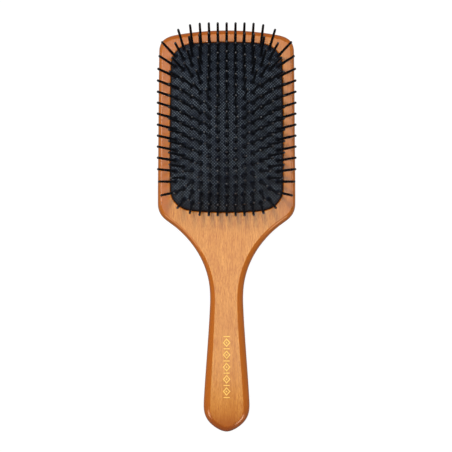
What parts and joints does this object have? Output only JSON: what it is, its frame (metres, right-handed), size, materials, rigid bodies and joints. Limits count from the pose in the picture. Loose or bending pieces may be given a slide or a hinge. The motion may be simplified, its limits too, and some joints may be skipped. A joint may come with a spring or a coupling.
{
  "type": "paddle brush",
  "caption": "Wide flat wooden hair brush with a straight handle, an air-cushioned rubber pad and rows of long plain nylon pins.",
  "frame": {"origin": "on the flat back face of the wood, straight below the middle of the rubber cushion", "axes": "+X across the paddle, +Y along the brush from the handle to the head's top edge, +Z out of the pinned face"},
  "size_m": [0.082, 0.2392, 0.0428],
  "materials": {
    "wood": "clear satin lacquer over pale orange-brown beech, fine grain along the handle",
    "rubber": "matt charcoal rubber with a fine woven texture",
    "pins": "glossy blue-black moulded nylon with rounded tips",
    "foil": "thin hot-stamped gold foil ornament on the handle"
  },
  "bodies": {
    "handle": {"wooden_body": "wood"},
    "cushion": {"rubber_cushion": "rubber"},
    "column_01": {"pins_01_a": "pins", "pins_01_b": "pins", "pins_01_c": "pins"},
    "column_02": {"pins_02_a": "pins", "pins_02_b": "pins", "pins_02_c": "pins"},
    "column_03": {"pins_03_a": "pins", "pins_03_b": "pins", "pins_03_c": "pins", "pins_03_d": "pins"},
    "column_04": {"pins_04_a": "pins", "pins_04_b": "pins", "pins_04_c": "pins", "pins_04_d": "pins"},
    "column_05": {"pins_05_a": "pins", "pins_05_b": "pins", "pins_05_c": "pins", "pins_05_d": "pins"},
    "column_06": {"pins_06_a": "pins", "pins_06_b": "pins", "pins_06_c": "pins", "pins_06_d": "pins"},
    "column_07": {"pins_07_a": "pins", "pins_07_b": "pins", "pins_07_c": "pins", "pins_07_d": "pins"},
    "column_08": {"pins_08_a": "pins", "pins_08_b": "pins", "pins_08_c": "pins", "pins_08_d": "pins"},
    "column_09": {"pins_09_a": "pins", "pins_09_b": "pins", "pins_09_c": "pins", "pins_09_d": "pins"},
    "column_10": {"pins_10_a": "pins", "pins_10_b": "pins", "pins_10_c": "pins", "pins_10_d": "pins"},
    "column_11": {"pins_11_a": "pins", "pins_11_b": "pins", "pins_11_c": "pins", "pins_11_d": "pins"},
    "column_12": {"pins_12_a": "pins", "pins_12_b": "pins", "pins_12_c": "pins"},
    "column_13": {"pins_13_a": "pins", "pins_13_b": "pins", "pins_13_c": "pins"}
  },
  "joints": [
    {"name": "cushion_press", "type": "slide", "parent": "handle", "child": "cushion", "axis": [0, 0, 1], "range_m": [-0.003, 0], "stiffness_N_per_m": 4000, "deforming": ["rubber_cushion"]},
    {"name": "column_01_lean", "type": "hinge", "parent": "cushion", "child": "column_01", "pos_m": [-0.03, 0, 0.0158], "axis": [0, 1, 0], "range_deg": [-8, 8], "stiffness_Nm_per_rad": 0.1},
    {"name": "column_02_lean", "type": "hinge", "parent": "cushion", "child": "column_02", "pos_m": [-0.025, 0, 0.017], "axis": [0, 1, 0], "range_deg": [-8, 8], "stiffness_Nm_per_rad": 0.1},
    {"name": "column_03_lean", "type": "hinge", "parent": "cushion", "child": "column_03", "pos_m": [-0.02, 0, 0.0177], "axis": [0, 1, 0], "range_deg": [-8, 8], "stiffness_Nm_per_rad": 0.1},
    {"name": "column_04_lean", "type": "hinge", "parent": "cushion", "child": "column_04", "pos_m": [-0.015, 0, 0.0182], "axis": [0, 1, 0], "range_deg": [-8, 8], "stiffness_Nm_per_rad": 0.1},
    {"name": "column_05_lean", "type": "hinge", "parent": "cushion", "child": "column_05", "pos_m": [-0.01, 0, 0.0186], "axis": [0, 1, 0], "range_deg": [-8, 8], "stiffness_Nm_per_rad": 0.1},
    {"name": "column_06_lean", "type": "hinge", "parent": "cushion", "child": "column_06", "pos_m": [-0.005, 0, 0.0188], "axis": [0, 1, 0], "range_deg": [-8, 8], "stiffness_Nm_per_rad": 0.1},
    {"name": "column_07_lean", "type": "hinge", "parent": "cushion", "child": "column_07", "pos_m": [0, 0, 0.0188], "axis": [0, 1, 0], "range_deg": [-8, 8], "stiffness_Nm_per_rad": 0.1},
    {"name": "column_08_lean", "type": "hinge", "parent": "cushion", "child": "column_08", "pos_m": [0.005, 0, 0.0188], "axis": [0, 1, 0], "range_deg": [-8, 8], "stiffness_Nm_per_rad": 0.1},
    {"name": "column_09_lean", "type": "hinge", "parent": "cushion", "child": "column_09", "pos_m": [0.01, 0, 0.0186], "axis": [0, 1, 0], "range_deg": [-8, 8], "stiffness_Nm_per_rad": 0.1},
    {"name": "column_10_lean", "type": "hinge", "parent": "cushion", "child": "column_10", "pos_m": [0.015, 0, 0.0182], "axis": [0, 1, 0], "range_deg": [-8, 8], "stiffness_Nm_per_rad": 0.1},
    {"name": "column_11_lean", "type": "hinge", "parent": "cushion", "child": "column_11", "pos_m": [0.02, 0, 0.0177], "axis": [0, 1, 0], "range_deg": [-8, 8], "stiffness_Nm_per_rad": 0.1},
    {"name": "column_12_lean", "type": "hinge", "parent": "cushion", "child": "column_12", "pos_m": [0.025, 0, 0.017], "axis": [0, 1, 0], "range_deg": [-8, 8], "stiffness_Nm_per_rad": 0.1},
    {"name": "column_13_lean", "type": "hinge", "parent": "cushion", "child": "column_13", "pos_m": [0.03, 0, 0.0158], "axis": [0, 1, 0], "range_deg": [-8, 8], "stiffness_Nm_per_rad": 0.1}
  ],
  "couplings": [
    {"joint": "column_01_lean", "follows": "column_07_lean", "ratio": 1},
    {"joint": "column_02_lean", "follows": "column_07_lean", "ratio": 1},
    {"joint": "column_03_lean", "follows": "column_07_lean", "ratio": 1},
    {"joint": "column_04_lean", "follows": "column_07_lean", "ratio": 1},
    {"joint": "column_05_lean", "follows": "column_07_lean", "ratio": 1},
    {"joint": "column_06_lean", "follows": "column_07_lean", "ratio": 1},
    {"joint": "column_08_lean", "follows": "column_07_lean", "ratio": 1},
    {"joint": "column_09_lean", "follows": "column_07_lean", "ratio": 1},
    {"joint": "column_10_lean", "follows": "column_07_lean", "ratio": 1},
    {"joint": "column_11_lean", "follows": "column_07_lean", "ratio": 1},
    {"joint": "column_12_lean", "follows": "column_07_lean", "ratio": 1},
    {"joint": "column_13_lean", "follows": "column_07_lean", "ratio": 1}
  ]
}
